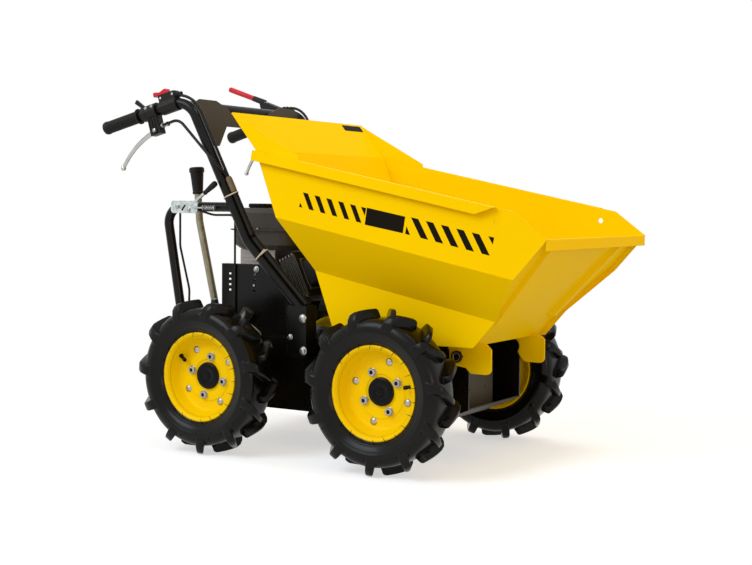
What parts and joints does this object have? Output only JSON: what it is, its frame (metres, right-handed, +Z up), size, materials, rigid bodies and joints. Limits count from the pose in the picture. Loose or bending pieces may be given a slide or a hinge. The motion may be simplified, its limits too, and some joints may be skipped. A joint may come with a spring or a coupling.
{
  "type": "walk-behind site dumper with tipping skip",
  "caption": "Walk-behind site dumper: four lugged tyres on a narrow chassis, rear petrol engine, tall handlebar with levers, and a hooded front skip that tips forward on a low hinge.",
  "frame": {"origin": "on the ground under the middle of the machine", "axes": "+X forward to the skip, +Y to the machine's left, +Z up"},
  "size_m": [1.3735, 0.756, 1.0285],
  "materials": {
    "yellow_paint": "gloss paint on steel sheet",
    "black_paint": "semi-gloss black paint",
    "tyre_rubber": "matt black rubber",
    "grip_rubber": "soft black rubber",
    "grey_plastic": "grained grey plastic",
    "black_plastic": "black plastic",
    "red_plastic": "red plastic",
    "bright_steel": "zinc-plated steel",
    "dull_steel": "dull steel rod",
    "engine_metal": "dark cast engine metal"
  },
  "bodies": {
    "chassis": {"air_filter": "black_plastic", "axle_front": "black_paint", "axle_rear": "black_paint", "belt_guard": "black_paint", "chassis_deck": "black_paint", "chassis_pan": "black_paint", "chassis_side_plates": "black_paint", "control_cables": "black_plastic", "dash_panel": "grey_plastic", "engine_block": "engine_metal", "engine_starter": "black_plastic", "fuel_cap": "black_plastic", "fuel_tank": "black_paint", "gear_lever": "dull_steel", "hand_grips": "grip_rubber", "hand_levers": "bright_steel", "handle_crossbar": "black_paint", "handle_sockets": "black_paint", "handle_tubes": "black_paint", "latch_plate": "bright_steel", "lever_knobs": "black_plastic", "lever_perches": "black_plastic", "muffler": "engine_metal", "pivot_bolts": "bright_steel", "rear_stays": "black_paint", "red_controls": "red_plastic", "skip_rest_pads": "grip_rubber", "stay_beam": "black_paint", "switch_housings": "black_plastic", "transmission": "engine_metal"},
    "skip": {"skip_cheeks": "yellow_paint", "skip_floor": "yellow_paint", "skip_front_panel": "yellow_paint", "skip_hinge_brackets": "yellow_paint", "skip_lower_sides": "yellow_paint", "skip_rear_wall": "yellow_paint", "skip_slanted_sides": "yellow_paint", "skip_upper_sides": "yellow_paint"},
    "wheel_front_right": {"tyre_front_right": "tyre_rubber", "rim_front_right": "yellow_paint", "hub_front_right": "black_paint"},
    "wheel_front_left": {"tyre_front_left": "tyre_rubber", "rim_front_left": "yellow_paint", "hub_front_left": "black_paint"},
    "wheel_rear_right": {"tyre_rear_right": "tyre_rubber", "rim_rear_right": "yellow_paint", "hub_rear_right": "black_paint"},
    "wheel_rear_left": {"tyre_rear_left": "tyre_rubber", "rim_rear_left": "yellow_paint", "hub_rear_left": "black_paint"}
  },
  "joints": [
    {"name": "skip_tip", "type": "hinge", "parent": "chassis", "child": "skip", "pos_m": [0.38, 0, 0.286], "axis": [0, 1, 0], "range_deg": [0, 75]},
    {"name": "spin_front_right", "type": "hinge", "parent": "chassis", "child": "wheel_front_right", "pos_m": [0.253, -0.324, 0.205], "axis": [0, 1, 0], "continuous": true},
    {"name": "spin_front_left", "type": "hinge", "parent": "chassis", "child": "wheel_front_left", "pos_m": [0.253, 0.324, 0.205], "axis": [0, 1, 0], "continuous": true},
    {"name": "spin_rear_right", "type": "hinge", "parent": "chassis", "child": "wheel_rear_right", "pos_m": [-0.285, -0.324, 0.205], "axis": [0, 1, 0], "continuous": true},
    {"name": "spin_rear_left", "type": "hinge", "parent": "chassis", "child": "wheel_rear_left", "pos_m": [-0.285, 0.324, 0.205], "axis": [0, 1, 0], "continuous": true}
  ]
}
